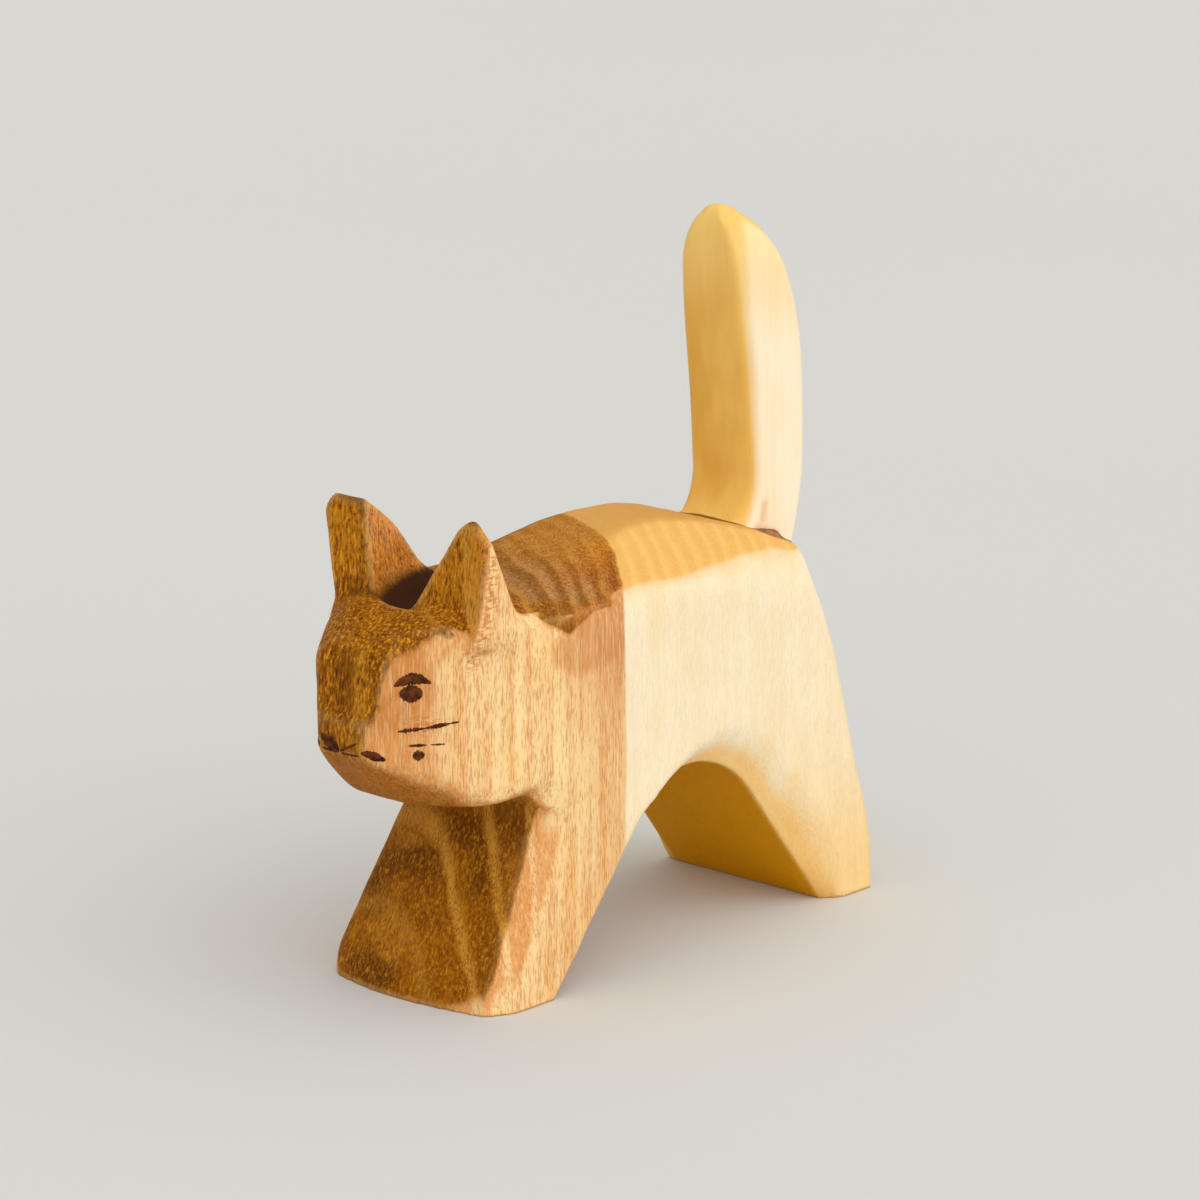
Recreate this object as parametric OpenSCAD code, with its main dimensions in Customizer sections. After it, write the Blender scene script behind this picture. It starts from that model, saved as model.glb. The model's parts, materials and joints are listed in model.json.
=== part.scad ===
// Wooden cat figure: a body sawn and carved from one board, a tail glued on over a hidden dowel,
// and a face drawn on the wood. Millimetres, +Z up. The nose points towards -Y and the cat's left
// side is +X. The origin is on the floor, under the middle of the figure.

/* [Board] */
// Thickness of the board, which is the width of the figure
board_w = 24; // [20:0.5:30]

/* [Legs] */
// Length of the fore foot along the floor
fore_foot = 10.2; // [6:0.2:13]
// Length of the hind foot along the floor
hind_foot = 7; // [5:0.25:10]
// Open length between the two feet
arch_span = 44; // [38:0.5:50]
// Height of the arch under the belly
arch_h = 19.8; // [15:0.2:23]
// Radius of the arch at its top
arch_r = 12.8; // [8:0.2:14.5]
// Width of the knife bevel over the top of the arch, measured on the flank
arch_bevel = 3.6; // [0.6:0.2:4.4]
// Depth of that bevel into the board
arch_bevel_in = 2; // [0.4:0.2:4]
// Lean of the chest from upright, in degrees
chest_lean = 23; // [14:1:28]

/* [Trunk] */
// Height of the back at its highest
back_h = 45.2; // [42:0.2:50]
// Distance of that highest point ahead of the heel of the hind foot
back_set = 29; // [24:0.5:34]
// Height of the nape, behind the ears
nape_h = 39.2; // [38:0.2:41]
// Height of the top of the rump, at the back of the tail
rump_h = 37.4; // [34:0.2:40]
// How far the top of the rump stands ahead of the heel
rump_lean = 4; // [2:0.2:7]
// Fall from the back to the top of the flank, over the sloping facet on each side
side_fall = 4.8; // [3:0.2:7]

/* [Head] */
// How far the nose reaches ahead of the fore foot
head_reach = 8.4; // [6:0.2:14]
// Height of the middle of the nose
nose_h = 30.2; // [28.6:0.2:31.6]
// Width of the flat front of the nose
muzzle_w = 6.2; // [4:0.2:8]
// Depth of that flat below the middle of the nose
chin_drop = 2.6; // [2:0.1:3.4]
// Height of the brow above the middle of the nose
brow_up = 8.1; // [7:0.1:9]
// Height of the flat under the jaw
jaw_h = 22; // [20.5:0.25:24]
// Height of the crown between the ears
crown_h = 41.8; // [40:0.2:44]
// Lean of the chin from upright, in degrees
chin_lean = 43; // [35:1:48]

/* [Ears] */
// Rise of the ears above the crown
ear_rise = 9; // [6:0.25:12]
// Distance of the foot of the ears behind the nose
ear_set = 9.1; // [8.1:0.2:10.5]
// Clear width between the ears at the crown
ear_gap = 6.6; // [4:0.2:9]
// Thickness of an ear from front to back, halfway up
ear_t = 4.8; // [3.6:0.2:6]

/* [Tail] */
// Length of the tail's foot along the back
tail_foot = 9.6; // [7:0.2:11]
// Width of the tail
tail_w = 10; // [8:0.2:12]
// Depth of the tail from front to back
tail_d = 8.6; // [7.4:0.2:11]
// Height of the tip of the tail above the floor
tail_tip = 75.6; // [64:0.4:90]
// How far the tip of the tail bends forwards
tail_hook = 5; // [0:0.25:8]
// Bevel on the long edges of the tail
tail_bevel = 1; // [0.4:0.1:2]
// Diameter of the dowel in the tail
dowel_d = 4; // [3:0.25:5]
// Depth of the dowel in the body
dowel_in_body = 9; // [5:0.5:14]
// Depth of the dowel in the tail
dowel_in_tail = 8; // [5:0.5:14]
// Radial clearance for glue around the dowel
dowel_gap = 0.1; // [0.05:0.05:0.3]
// Depth left free for glue at each end of the dowel
dowel_end = 0.5; // [0.2:0.1:1.5]
// Bevel on the ends of the dowel
dowel_bevel = 0.4; // [0.2:0.1:0.8]
// Thickness of the glue line under the tail
glue_t = 0.2; // [0.1:0.05:0.4]

/* [Face marks] */
// Depth to which the marks sink into the wood
mark_depth = 0.5; // [0.3:0.05:0.8]
// Distance of each eye from the middle of the face
eye_out = 6.4; // [5.6:0.1:7.2]
// Height of the eyes above the middle of the nose
eye_up = 4; // [3.2:0.1:4.8]
// Width of the pupil
pupil_w = 2.4; // [1.6:0.1:3.2]
// Height of the pupil
pupil_h = 1.6; // [1.2:0.1:2]
// Width of the eyelid
lid_w = 3.8; // [3:0.1:4.8]
// Thickness of the eyelid in its middle
lid_t = 0.9; // [0.5:0.1:1.3]
// Clear height from the middle of the pupil to the eyelid, in its middle
lid_up = 1.1; // [1.05:0.05:1.6]
// Length of the upper whisker line
whisker_len = 6.4; // [4:0.2:8]
// Length of the lower whisker line
whisker_low = 4; // [2:0.25:6]
// Thickness of the whisker lines
whisker_t = 0.5; // [0.3:0.05:0.8]
// Spacing between the whisker lines
whisker_step = 1.5; // [1:0.1:2]
// Depth of the upper whisker line below the eye
whisker_drop = 3.7; // [2.8:0.1:4.2]
// Thickness of the lines that draw the nose
nose_t = 0.9; // [0.5:0.05:1.2]
// Length of each mouth line on the cheek
mouth_len = 2.1; // [1.5:0.1:3]
// Thickness of the mouth lines
mouth_t = 0.8; // [0.4:0.05:1.2]

/* [Hidden] */
$fn = 64;
half_w = board_w / 2;
length = head_reach + fore_foot + arch_span + hind_foot;
// Stations along the figure, from the heel forwards
heel_y = length / 2;
hind_y = heel_y - hind_foot;
arch_y = hind_y - arch_span / 2;
fore_y = hind_y - arch_span;
toe_y = fore_y - fore_foot;
nose_y = -length / 2;
back_y = heel_y - back_set;
ear_y = nose_y + ear_set;
// The arch is two straight sides that run into a round top
arch_low = arch_h - arch_r;
// The bevel's round top stands a little behind the arch's own
arch_bevel_back = arch_bevel / 3;
// Power of the curve that the rump follows from heel to seat
rump_curve = 1.6;
// The tail stands on a flat cut at the end of the back
seat_tilt = 23;
seat_rear = [heel_y - rump_lean, rump_h];
seat_front = seat_rear + tail_foot * [-1, tan(seat_tilt)];
seat_mid = (seat_rear + seat_front) / 2;
tail_y = seat_rear[0] - 0.39 * tail_d;
tail_up = tail_tip - seat_mid[1];

// Each facet that the knife leaves is a point on it, its heading and its slope above level.
// A heading of 0 looks forwards, 90 to the cat's left and 180 backwards.
back_facet = [[half_w, back_y - 0.1 * back_set, back_h - side_fall], 92, 58];
shoulder_facet = [[half_w, (back_y + fore_y) / 2, back_h - side_fall], 64, 62];
hip_facet = [[half_w, back_y + 0.3 * back_set, back_h - 0.87 * side_fall], 110, 55];
loin_facet = [[half_w, back_y + 0.2 * back_set, back_h - 1.15 * side_fall], 97, 35];
rump_point = [0.66 * half_w, heel_y - 0.6 * rump_lean, 0.67 * rump_h];
rump_facet = [rump_point, 144, 19];
thigh_facet = [rump_point, 142, 9];
toe_left_facet = [[0.2 * half_w, toe_y, 0], 11, chest_lean];
toe_right_facet = [[0.36 * half_w, toe_y, 0], 12, chest_lean];
toe_end_facet = [[0.75 * half_w, fore_y - 0.92 * fore_foot, 0], 42, 4];
chest_left_facet = [[0.89 * half_w, fore_y - 0.41 * fore_foot, 0.4 * jaw_h], 58, 14];
throat_left_facet = [[0.89 * half_w, fore_y - 0.24 * fore_foot, 0.61 * jaw_h], 48, 22];
chest_right_facet = [[0.79 * half_w, fore_y - 0.52 * fore_foot, 0.44 * jaw_h], 60, 23];
muzzle_edge = [muzzle_w / 2, nose_y, nose_h + 0.3 * chin_drop];
muzzle_facet = [[0, nose_y, nose_h], 0, 0];
brow_facet = [[0, nose_y, nose_h + brow_up], 0, 63];
chin_facet = [[0, nose_y, nose_h - chin_drop], 0, -chin_lean];
forehead_facet = [muzzle_edge, 25, 10];
cheek_facet = [muzzle_edge, 48, -2];
jaw_facet = [[0, nose_y + 0.36 * (nose_h - jaw_h), jaw_h], 35, -38];
temple_facet = [[0.88 * half_w, ear_y + 0.25 * ear_t, nose_h], 68, 1];
jowl_facet = [[0.8 * half_w, ear_y - 0.2 * ear_t, jaw_h], 50, -30];
nape_facet = [[0, ear_y + 1.45 * ear_t, crown_h], 180, 68];
brow_end_facet = [[0.72 * half_w, ear_y - 0.5 * ear_t, crown_h - 0.5 * ear_t], 48, 45];
neck_facet = [[half_w, fore_y, crown_h - 0.75 * side_fall], 95, 58];
ear_mid = crown_h + ear_rise / 2;
ear_top = crown_h + ear_rise;
ear_front_facet = [[0, ear_y, crown_h], 0, 5];
ear_back_facet = [[0, ear_y + 1.08 * ear_t, ear_mid], 180, 28];
ear_root_facet = [[0, ear_y + 1.08 * ear_t, ear_mid], 180, 45];
ear_inner_facet = [[ear_gap / 2, ear_y, crown_h], -90, 22];
ear_outer_facet = [[0.87 * half_w, ear_y, ear_mid], 75, -5];
ear_tip_facets = [
    [[0, ear_y + ear_t / 3, ear_top], 180, 60],
    [[0.8 * half_w, ear_y, ear_top], 90, 60],
    [[0.68 * half_w, ear_y, ear_top], -90, 60]
];
// The share of the height where the tip starts to round off, in depth and in width
tip_depth_share = 0.55;
tip_width_share = 0.8;
// The flare at the tail's foot: where it ends, how much deeper it is and how far forwards it goes
flare_share = 0.14;
flare_ratio = 0.17;
flare_lean = 0.25 * tail_d;
// The dowel stands in the middle of the tail's foot
dowel_y = tail_y - 0.5 * flare_lean;
// Rings along the tail, as shares of its height above the seat
tail_rings = [-0.12, 0, 0.05, flare_share, 0.3, 0.45, 0.58, 0.68, 0.77, 0.85, 0.91, 0.955, 0.985, 1];
// Places of the face marks, measured from the middle of the eye or of the nose
lid_shift = 0.06 * lid_w;
whisker_start = [-0.58 * pupil_w, -whisker_drop];
whisker_climb = 0.1 * whisker_len;
whisker_inset = 0.4 * pupil_w;
dot_w = 0.5 * pupil_w;
dot_h = 0.45 * pupil_h;
mouth_start = [-0.68 * eye_out, -1.5 * eye_up];
mouth_dip = 23;
nose_start = [0.42 * muzzle_w, -0.35 * chin_drop];
nose_low = [0, -0.85 * chin_drop];
// Room that cutting shapes take beyond the wood
over = 1;
reach = 90;

// Puts a flat drawing on a facet, at the point that it is given by
module on_facet(facet) {
    translate(facet[0])
        rotate([0, 0, facet[1]])
            rotate([90 - facet[2], 0, 0])
                children();
}

// Everything on the outer side of a facet, which one knife cut takes away
module knife(facet) {
    on_facet(facet)
        translate([-reach / 2, -reach / 2, 0])
            cube(reach);
}

module cuts(facets) {
    for (facet = facets)
        knife(facet);
}

module right_side() {
    mirror([1, 0, 0])
        children();
}

module both_sides() {
    children();
    right_side()
        children();
}

// An outline in (y, z), sawn through a board of the given thickness
module sawn(points, thickness) {
    rotate([90, 0, 90])
        linear_extrude(thickness, center = true)
            polygon(points);
}

// The opening under the belly: a round top, and a straight side down from it to each foot
function arch_turn(r, run) = 90 + atan2(arch_low, run) - acos(r / norm([run, arch_low]));
function arch_outline(r, shift, steps = 12) =
    let (
        front = arch_turn(r, arch_span / 2 + shift),
        rear = arch_turn(r, arch_span / 2 - shift)
    )
    concat(
        [[fore_y, -over], [fore_y, 0]],
        [for (i = [0:steps])
            let (a = -front + (front + rear) * i / steps)
            [arch_y + shift + r * sin(a), arch_low + r * cos(a)]],
        [[hind_y, 0], [hind_y, -over]]
    );

// The line of the back from the tail's seat to the nape, and of the rump from heel to seat
function back_line(steps = 5) = concat(
    [for (i = [steps:-1:1])
        let (t = i / steps)
        [back_y + (seat_front[0] - back_y) * t, back_h + (seat_front[1] - back_h) * t * t]],
    [for (i = [0:steps])
        let (t = i / steps)
        [back_y + (fore_y - back_y) * t, back_h + (nape_h - back_h) * t * t]]
);
function rump_line(steps = 5) = [
    for (i = [0:steps])
        let (t = i / steps)
        [heel_y - rump_lean * pow(t, rump_curve), rump_h * t]
];

module arch_opening() {
    skin = 0.01;
    sawn(arch_outline(arch_r, 0), board_w + 2 * over);
    both_sides()
        hull() {
            translate([half_w - arch_bevel_in, 0, 0])
                sawn(arch_outline(arch_r, 0), skin);
            translate([half_w + skin, 0, 0])
                sawn(arch_outline(arch_r + arch_bevel, arch_bevel_back), skin);
        }
}

module trunk() {
    difference() {
        sawn(concat(rump_line(), back_line(), [[fore_y + 0.8 * fore_foot, 0]]), board_w);
        both_sides()
            cuts([back_facet, shoulder_facet, hip_facet, loin_facet, rump_facet, thigh_facet]);
    }
}

module fore_leg() {
    top = jaw_h + 0.4 * fore_foot;
    difference() {
        sawn([
            [toe_y, 0], [arch_y, 0], [arch_y, top], [toe_y + top * tan(chest_lean), top]
        ], board_w);
        cuts([toe_left_facet, chest_left_facet, throat_left_facet]);
        right_side()
            cuts([toe_right_facet, toe_end_facet, chest_right_facet]);
    }
}

module head() {
    difference() {
        translate([-half_w, nose_y, jaw_h])
            cube([board_w, fore_y + 0.59 * fore_foot - nose_y, crown_h - jaw_h]);
        cuts([brow_facet, chin_facet, nape_facet]);
        both_sides() {
            cuts([forehead_facet, brow_end_facet, cheek_facet, temple_facet]);
            cuts([jaw_facet, jowl_facet, neck_facet]);
        }
    }
}

module ear() {
    root = 0.8 * ear_t;
    difference() {
        translate([0, ear_y - over, crown_h - root])
            cube([half_w, 3 * ear_t, ear_rise + root]);
        cuts([ear_front_facet, ear_back_facet, ear_root_facet, ear_inner_facet, ear_outer_facet]);
        cuts(ear_tip_facets);
    }
}

// The carved body before the tail's bore and the face marks
module carving() {
    difference() {
        union() {
            trunk();
            fore_leg();
        }
        arch_opening();
    }
    head();
    both_sides()
        ear();
}

// Half depth, half width and middle of the tail at a share of its height
function dome(t, start) = sqrt(1 - min(0.995, pow(max(0, t - start) / (1 - start), 2)));
function flare(t) = max(0, 1 - t / flare_share);
function tail_half_d(t) = tail_d / 2 * (dome(t, tip_depth_share) + flare_ratio * flare(t));
function tail_half_w(t) = tail_w / 2 * dome(t, tip_width_share);
function tail_mid(t) = tail_y - tail_hook * pow(max(0, t), 4) - flare_lean * flare(t);
function tail_ring(t) =
    let (
        d = tail_half_d(t),
        w = tail_half_w(t),
        b = min(tail_bevel, 0.45 * d, 0.45 * w),
        y = tail_mid(t),
        z = seat_mid[1] + tail_up * t
    )
    [for (p = [[w - b, -d], [w, b - d], [w, d - b], [w - b, d],
               [b - w, d], [-w, d - b], [-w, b - d], [b - w, -d]])
        [p[0], y + p[1], z]];

// The tail as one skin over its rings, running down past its seat
module tail_stick() {
    sides = 8;
    last = len(tail_rings) - 1;
    walls = [
        for (k = [0:last - 1], i = [0:sides - 1])
            let (
                a = k * sides + i,
                b = k * sides + (i + 1) % sides
            )
            each [[a, a + sides, b + sides], [a, b + sides, b]]
    ];
    polyhedron(
        [for (t = tail_rings) each tail_ring(t)],
        concat(
            [[for (i = [0:sides - 1]) i]],
            walls,
            [[for (i = [sides - 1:-1:0]) last * sides + i]]
        )
    );
}

// The flat under the tail, at a height over its seat, facing up or down
function over_seat(lift) = [0, seat_mid[0] + lift * sin(seat_tilt), seat_mid[1] + lift * cos(seat_tilt)];
function seat_up(lift) = [over_seat(lift), 180, 90 - seat_tilt];
function seat_down(lift) = [over_seat(lift), 0, seat_tilt - 90];

module dowel_bore() {
    low = seat_mid[1] - dowel_in_body - dowel_end;
    high = seat_mid[1] + dowel_in_tail + dowel_end;
    translate([0, dowel_y, low])
        cylinder(d = dowel_d + 2 * dowel_gap, h = high - low);
}

// A mark is drawn on its facet and sinks into the wood
module drawn(points, depth = mark_depth) {
    translate([0, 0, -depth])
        linear_extrude(depth + over)
            polygon(points);
}

// A line of even thickness between two points
function stroke(a, b, t) =
    let (side = t / 2 * [a[1] - b[1], b[0] - a[0]] / norm(b - a))
    [a + side, a - side, b - side, b + side];
function oval(w, h, at = [0, 0], steps = 24) = [
    for (i = [0:steps - 1])
        let (a = 360 * i / steps)
        at + [w / 2 * cos(a), h / 2 * sin(a)]
];
function arc_band(w, low, rise, t, steps = 10) = concat(
    [for (i = [-steps:steps])
        let (s = i / steps)
        [w / 2 * s, low + rise * (1 - s * s)]],
    [for (i = [steps - 1:-1:1 - steps])
        let (s = i / steps)
        [w / 2 * s, low + (rise - t) * (1 - s * s)]]
);

// The point of a facet at a given distance from the middle plane and height
function facet_point(facet, x, z) =
    let (
        side = (x - facet[0][0]) * tan(facet[1]),
        rise = (z - facet[0][2]) * tan(facet[2]) / cos(facet[1])
    )
    [x, facet[0][1] + side + rise, z];
eye_facet = [facet_point(cheek_facet, eye_out, nose_h + eye_up), cheek_facet[1], cheek_facet[2]];

module pupil_drawn() {
    on_facet(eye_facet)
        drawn(oval(pupil_w, pupil_h));
}

module eyelid_drawn() {
    low = 0.8 * lid_up;
    on_facet(eye_facet)
        translate([lid_shift, 0, 0])
            drawn(arc_band(lid_w, low, lid_t + lid_up - low, lid_t));
}

module whiskers_drawn() {
    high_end = whisker_start + [whisker_len, whisker_climb];
    low = whisker_start + [whisker_inset, -whisker_step];
    dot = whisker_start + [2 * whisker_inset, -1.7 * whisker_step];
    on_facet(eye_facet) {
        drawn(stroke(whisker_start, high_end, whisker_t), 2 * mark_depth);
        drawn(stroke(low, low + [whisker_low, 0], whisker_t), 2 * mark_depth);
        drawn(oval(dot_w, dot_h, dot));
    }
}

module nose_drawn() {
    on_facet(muzzle_facet)
        drawn(stroke(nose_start, nose_low, nose_t));
}

module mouth_drawn() {
    corner = mouth_start + mouth_len * [cos(mouth_dip), -sin(mouth_dip)];
    on_facet(muzzle_facet)
        drawn(stroke(nose_low, [nose_start[0], nose_low[1]], 0.5 * mouth_t));
    on_facet(eye_facet)
        drawn(stroke(mouth_start, corner, mouth_t));
}

// The film of a mark: what its drawing takes from the head
module film() {
    intersection() {
        head();
        children();
    }
}

module body() {
    color("#b9793f")
        difference() {
            carving();
            dowel_bore();
            both_sides() {
                nose_drawn();
                pupil_drawn();
                eyelid_drawn();
                whiskers_drawn();
                mouth_drawn();
            }
        }
}

module tail() {
    color("#e9c68a")
        difference() {
            tail_stick();
            knife(seat_down(glue_t));
            dowel_bore();
        }
}

module tail_dowel() {
    r = dowel_d / 2;
    low = seat_mid[1] - dowel_in_body;
    high = seat_mid[1] + dowel_in_tail;
    color("#d8b98a")
        translate([0, dowel_y, 0])
            rotate_extrude()
                polygon([
                    [0, low], [r - dowel_bevel, low], [r, low + dowel_bevel],
                    [r, high - dowel_bevel], [r - dowel_bevel, high], [0, high]
                ]);
}

module tail_glue() {
    color("#7a4a20")
        difference() {
            tail_stick();
            knife(seat_down(0));
            knife(seat_up(glue_t));
            dowel_bore();
        }
}

module mark() {
    color("#4a2015")
        children();
}

module left_pupil() {
    mark()
        film()
            pupil_drawn();
}

module right_pupil() {
    right_side()
        left_pupil();
}

module left_eyelid() {
    mark()
        film()
            eyelid_drawn();
}

module right_eyelid() {
    right_side()
        left_eyelid();
}

module nose_mark() {
    mark()
        film()
            both_sides()
                nose_drawn();
}

module mouth_mark() {
    mark()
        difference() {
            film()
                both_sides()
                    mouth_drawn();
            both_sides()
                nose_drawn();
        }
}

module left_whiskers() {
    mark()
        film()
            whiskers_drawn();
}

module right_whiskers() {
    right_side()
        left_whiskers();
}

body();
tail();
tail_dowel();
tail_glue();
left_pupil();
right_pupil();
left_eyelid();
right_eyelid();
nose_mark();
mouth_mark();
left_whiskers();
right_whiskers();
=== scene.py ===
# %% [markdown]
# # A small carved wooden cat
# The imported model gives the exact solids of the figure: a body sawn and carved from one board, a tail
# glued on over a hidden dowel, and a face drawn on the wood. This lesson dresses those solids. Flat
# knife cuts get the soft edges of worn wood, and each surface gets grain that runs through the wood.

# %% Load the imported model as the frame
import json

import bpy
import numpy as np
from mathutils import Matrix

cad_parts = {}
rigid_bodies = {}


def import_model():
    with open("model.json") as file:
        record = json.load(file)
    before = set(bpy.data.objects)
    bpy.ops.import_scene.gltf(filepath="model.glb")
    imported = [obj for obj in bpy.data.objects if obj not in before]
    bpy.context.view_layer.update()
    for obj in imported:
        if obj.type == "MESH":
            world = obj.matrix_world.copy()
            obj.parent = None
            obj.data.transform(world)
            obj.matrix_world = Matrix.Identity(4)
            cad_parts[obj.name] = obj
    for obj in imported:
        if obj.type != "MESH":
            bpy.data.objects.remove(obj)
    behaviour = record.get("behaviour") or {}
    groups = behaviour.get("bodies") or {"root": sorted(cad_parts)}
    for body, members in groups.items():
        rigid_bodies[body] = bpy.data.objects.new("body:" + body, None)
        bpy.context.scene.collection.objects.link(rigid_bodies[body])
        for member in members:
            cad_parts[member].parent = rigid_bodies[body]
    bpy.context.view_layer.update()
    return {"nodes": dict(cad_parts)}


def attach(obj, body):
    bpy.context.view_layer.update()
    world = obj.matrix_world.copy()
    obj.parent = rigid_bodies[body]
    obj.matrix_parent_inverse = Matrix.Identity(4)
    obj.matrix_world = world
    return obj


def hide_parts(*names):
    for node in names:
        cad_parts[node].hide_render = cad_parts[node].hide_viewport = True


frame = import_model()

# %% [markdown]
# ## The camera
# The photograph is taken from ahead and to the cat's left, a little above it, with a long lens. A long
# lens could be faked with an orthographic camera, but then the tail would stand too large behind the
# head. So the camera is a real one: 150 mm on a 36 mm sensor, half a metre away.

# %% Camera
MM = 0.001
azimuth, elevation = np.radians([42.03, 14.35])
distance = 521.9 * MM
look_at = np.array([0, 3.8, 36.14]) * MM
back_way = np.array([
    np.sin(azimuth) * np.cos(elevation),
    -np.cos(azimuth) * np.cos(elevation),
    np.sin(elevation),
])
right_way = np.array([np.cos(azimuth), np.sin(azimuth), 0])
up_way = np.cross(back_way, right_way)

camera = bpy.data.objects.new("camera", bpy.data.cameras.new("camera"))
camera.data.lens = 150
camera.data.sensor_width = 36
camera.data.clip_start = 0.01
turn = np.eye(4)
turn[:3, :3] = np.stack([right_way, up_way, back_way], 1)
turn[:3, 3] = look_at + distance * back_way
camera.matrix_world = Matrix(turn.tolist())
bpy.context.scene.collection.objects.link(camera)
bpy.context.scene.camera = camera
print("camera at", np.round(turn[:3, 3], 3))

# %% [markdown]
# ## Knife cuts as a field
# The body is one piece of wood with an arch, ears and dozens of flat cuts. It could be modelled face by
# face, but a grid of two parameters can't run round the arch and up both ears. So the body is a field
# instead: for every point in space, how far it lies outside the wood. A knife cut is a plane, cutting
# is the larger of two fields, and joining is the smaller. Rounding that choice over a narrow band gives
# the soft edges that a knife and many hands leave.

# %% Fields of single cuts, and how they join
def knife_cut(p, point, heading, slope):
    """Signed distance to a flat cut: (p - point) . n, above zero where the wood is cut away.
    n is turned by the heading from straight ahead (-Y) to the cat's left (+X), and then tipped
    up by the slope."""
    h, s = np.radians([heading, slope])
    n = (np.sin(h) * np.cos(s), -np.cos(h) * np.cos(s), np.sin(s))
    return sum((c - c0) * w for c, c0, w in zip(p, point, n))


def soft_max(a, b, band):
    """The larger of two fields, plus (band - |a - b|)^2 / (4 band) where they are closer than the band."""
    return np.maximum(a, b) + np.maximum(band - np.abs(a - b), 0) ** 2 / (4 * band)


def soft_min(a, b, band):
    """The smaller of two fields, with the same rounding as soft_max, so that it leaves a small fillet."""
    return -soft_max(-a, -b, band)


def smooth_step(value, low, high):
    """0 below low, 1 above high, and 3 t^2 - 2 t^3 between them."""
    t = np.clip((value - low) / (high - low), 0, 1)
    return t * t * (3 - 2 * t)


def both_sides(p, rounding=0.35):
    """The same points with x replaced by sqrt(x^2 + rounding^2), so that one cut serves both sides."""
    x, y, z = p
    return np.sqrt(x * x + rounding * rounding), y, z


def carve(field, p, cuts):
    """Takes away each cut in turn. A cut is its point, heading, slope and the band of its edge."""
    for point, heading, slope, band in cuts:
        field = soft_max(field, knife_cut(p, point, heading, slope), band)
    return field


# %% [markdown]
# ## The trunk
# The board is sawn to the outline of back and rump, and the knife then takes off its long edges. A Bevel
# modifier would round them all alike. On the real figure the cuts on the back stay crisp, while the rump
# is worn round, so each cut has its own band.

# %% Trunk
half_w = 12.0
heel_y, arch_y, fore_y, toe_y, nose_y = 34.8, 5.8, -16.2, -26.8, -34.8
back_y, back_h, nape_h, rump_h, rump_lean = 4.6, 45.2, 39.2, 37.4, 4.0
seat_y, seat_h, seat_fall = 21.2, 41.475, np.tan(np.radians(23))
trunk_cuts = [
    ((half_w, 2.9, 40.4), 92, 58, 0.7),
    ((half_w, -5.2, 40.4), 64, 62, 0.7),
    ((half_w, 14.5, 41.02), 110, 55, 0.7),
    ((half_w, 11.6, 40.2), 97, 35, 1.3),
    ((half_w, 10.7, 38.7), 93, 13, 1.6),
    ((half_w, -11.0, 34.3), 84, 12, 0.9),
    ((7.8, 32.2, 25.46), 144, 19, 1.2),
]
thigh_cuts = [((half_w, 28.8, 25.8), 144, 6), ((half_w, 32.9, 11.5), 144, 17)]


def back_line(y):
    """Height and slope of the back: a parabola down to the nape, another down to the tail, and then
    the tail's flat seat."""
    front = np.maximum((back_y - y) / (back_y - fore_y), 0)
    rear = np.clip((y - back_y) / (seat_y - back_y), 0, 1)
    height = back_h - (back_h - nape_h) * front**2 - (back_h - seat_h) * rear**2
    height = height - seat_fall * np.maximum(y - seat_y, 0)
    slope = 2 * (back_h - nape_h) * front / (back_y - fore_y)
    slope = slope - np.where(y > seat_y, seat_fall, 2 * (back_h - seat_h) * rear / (seat_y - back_y))
    return height, slope


def trunk(p):
    """The sawn outline, (z - back) and (y - rump) over their own steepness, less the cuts on both sides.
    The cut down the thigh turns out again above the heel, so it is the smaller of two planes."""
    x, y, z = p
    height, slope = back_line(y)
    top = (z - height) / np.sqrt(1 + slope**2)
    share = np.clip(z / rump_h, 0, None)
    rump = (y - heel_y + rump_lean * share**1.6) / np.sqrt(1 + (1.6 * rump_lean / rump_h * share**0.6) ** 2)
    field = soft_max(top, rump, 0.8)
    field = np.maximum(field, knife_cut(p, (0, fore_y, nape_h), 0, -11.5))
    side = both_sides(p)
    thigh = [knife_cut(side, *cut) for cut in thigh_cuts]
    return soft_max(carve(field, side, trunk_cuts), soft_min(*thigh, 2.0), 1.2)


print("trunk:", len(trunk_cuts) + len(thigh_cuts), "cuts on each side")

# %% [markdown]
# ## The fore leg and the arch
# The legs are blocks left standing when the arch under the belly is sawn out. The chest leans back in
# three long cuts that make the toe slightly round, and more cuts take off its edges. The arch is a circle
# with a straight line down to each foot. Its knife bevel is wide over the hind leg, narrower on the far
# side, and runs out to nothing towards the fore leg. A Boolean could cut the arch, but not a bevel that
# fades, so the arch is a field too, and its size grows near the board's faces.

# %% Fore leg and arch
chest_lean = 23.0
leg_left_cuts = [
    ((2.4, toe_y, 0), 11, chest_lean, 0.7),
    ((10.7, -20.4, 8.8), 58, 14, 0.5),
]
leg_right_cuts = [
    ((4.3, toe_y, 0), 12, chest_lean, 0.7),
    ((9.5, -21.5, 9.6), 60, 23, 0.8),
    ((9.6, -25.9, 0), 42, 4, 0.4),
]
arch_r, arch_low, arch_ends = 12.8, 7.0, 51.3
bevel_w, bevel_in = 4.1, 1.7


def fore_leg(p):
    """The block behind the leaning chest, less the cuts on the cat's left and on its right."""
    x, y, z = p
    field = soft_max(knife_cut(p, (0, toe_y, 0), 0, chest_lean), z - 26, 0.5)
    field = np.maximum(field, y - arch_y)
    field = carve(field, p, leg_left_cuts)
    return carve(field, (-x, y, z), leg_right_cuts)


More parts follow.
